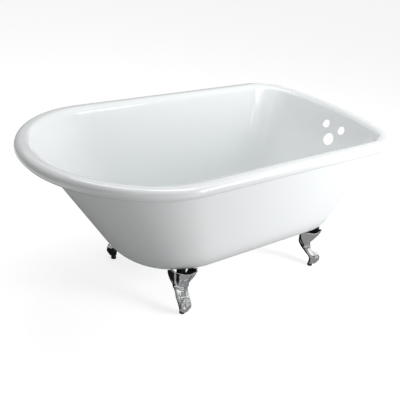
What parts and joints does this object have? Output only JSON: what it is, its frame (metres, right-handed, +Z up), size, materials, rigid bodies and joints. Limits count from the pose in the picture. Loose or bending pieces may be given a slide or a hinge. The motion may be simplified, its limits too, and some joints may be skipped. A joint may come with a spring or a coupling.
{
  "type": "clawfoot bathtub",
  "caption": "Freestanding roll-rim bathtub with one reclined round end, a drilled tap end, ball-and-claw feet and screw-adjusted levelling pads.",
  "frame": {"origin": "on the ground under the middle of the rim's outer box", "axes": "+X from the round reclined end to the tap end, +Y across the tub, away from the side that the picture shows, +Z up"},
  "size_m": [1.524, 0.762, 0.618],
  "materials": {
    "shell_enamel": "white vitreous enamel, gloss inside and on the rim, satin white outside",
    "foot_plating": "polished chrome plating on cast iron",
    "hardware_steel": "zinc-plated steel",
    "pad_rubber": "black moulded rubber"
  },
  "bodies": {
    "tub": {"tub_shell": "shell_enamel", "claw_foot_head_near": "foot_plating", "foot_stud_head_near": "hardware_steel", "flat_washer_head_near": "hardware_steel", "spring_washer_head_near": "hardware_steel", "stud_nut_head_near": "hardware_steel", "lock_nut_head_near": "hardware_steel", "claw_foot_head_far": "foot_plating", "foot_stud_head_far": "hardware_steel", "flat_washer_head_far": "hardware_steel", "spring_washer_head_far": "hardware_steel", "stud_nut_head_far": "hardware_steel", "lock_nut_head_far": "hardware_steel", "claw_foot_tap_near": "foot_plating", "foot_stud_tap_near": "hardware_steel", "flat_washer_tap_near": "hardware_steel", "spring_washer_tap_near": "hardware_steel", "stud_nut_tap_near": "hardware_steel", "lock_nut_tap_near": "hardware_steel", "claw_foot_tap_far": "foot_plating", "foot_stud_tap_far": "hardware_steel", "flat_washer_tap_far": "hardware_steel", "spring_washer_tap_far": "hardware_steel", "stud_nut_tap_far": "hardware_steel", "lock_nut_tap_far": "hardware_steel"},
    "pad_head_near": {"levelling_pad_head_near": "pad_rubber"},
    "screw_head_near": {"levelling_screw_head_near": "hardware_steel"},
    "pad_head_far": {"levelling_pad_head_far": "pad_rubber"},
    "screw_head_far": {"levelling_screw_head_far": "hardware_steel"},
    "pad_tap_near": {"levelling_pad_tap_near": "pad_rubber"},
    "screw_tap_near": {"levelling_screw_tap_near": "hardware_steel"},
    "pad_tap_far": {"levelling_pad_tap_far": "pad_rubber"},
    "screw_tap_far": {"levelling_screw_tap_far": "hardware_steel"}
  },
  "joints": [
    {"name": "pad_travel_head_near", "type": "slide", "parent": "tub", "child": "pad_head_near", "axis": [0, 0, -1], "range_m": [0, 0.014]},
    {"name": "screw_turn_head_near", "type": "hinge", "parent": "pad_head_near", "child": "screw_head_near", "pos_m": [-0.214, -0.216, 0.008], "axis": [0, 0, -1], "range_deg": [0, 2870]},
    {"name": "pad_travel_head_far", "type": "slide", "parent": "tub", "child": "pad_head_far", "axis": [0, 0, -1], "range_m": [0, 0.014]},
    {"name": "screw_turn_head_far", "type": "hinge", "parent": "pad_head_far", "child": "screw_head_far", "pos_m": [-0.214, 0.216, 0.008], "axis": [0, 0, -1], "range_deg": [0, 2870]},
    {"name": "pad_travel_tap_near", "type": "slide", "parent": "tub", "child": "pad_tap_near", "axis": [0, 0, -1], "range_m": [0, 0.014]},
    {"name": "screw_turn_tap_near", "type": "hinge", "parent": "pad_tap_near", "child": "screw_tap_near", "pos_m": [0.509, -0.216, 0.008], "axis": [0, 0, -1], "range_deg": [0, 2870]},
    {"name": "pad_travel_tap_far", "type": "slide", "parent": "tub", "child": "pad_tap_far", "axis": [0, 0, -1], "range_m": [0, 0.014]},
    {"name": "screw_turn_tap_far", "type": "hinge", "parent": "pad_tap_far", "child": "screw_tap_far", "pos_m": [0.509, 0.216, 0.008], "axis": [0, 0, -1], "range_deg": [0, 2870]}
  ],
  "couplings": [
    {"joint": "pad_travel_head_near", "follows": "screw_turn_head_near", "m_per_rad": 0.00023873},
    {"joint": "pad_travel_head_far", "follows": "screw_turn_head_far", "m_per_rad": 0.00023873},
    {"joint": "pad_travel_tap_near", "follows": "screw_turn_tap_near", "m_per_rad": 0.00023873},
    {"joint": "pad_travel_tap_far", "follows": "screw_turn_tap_far", "m_per_rad": 0.00023873}
  ]
}
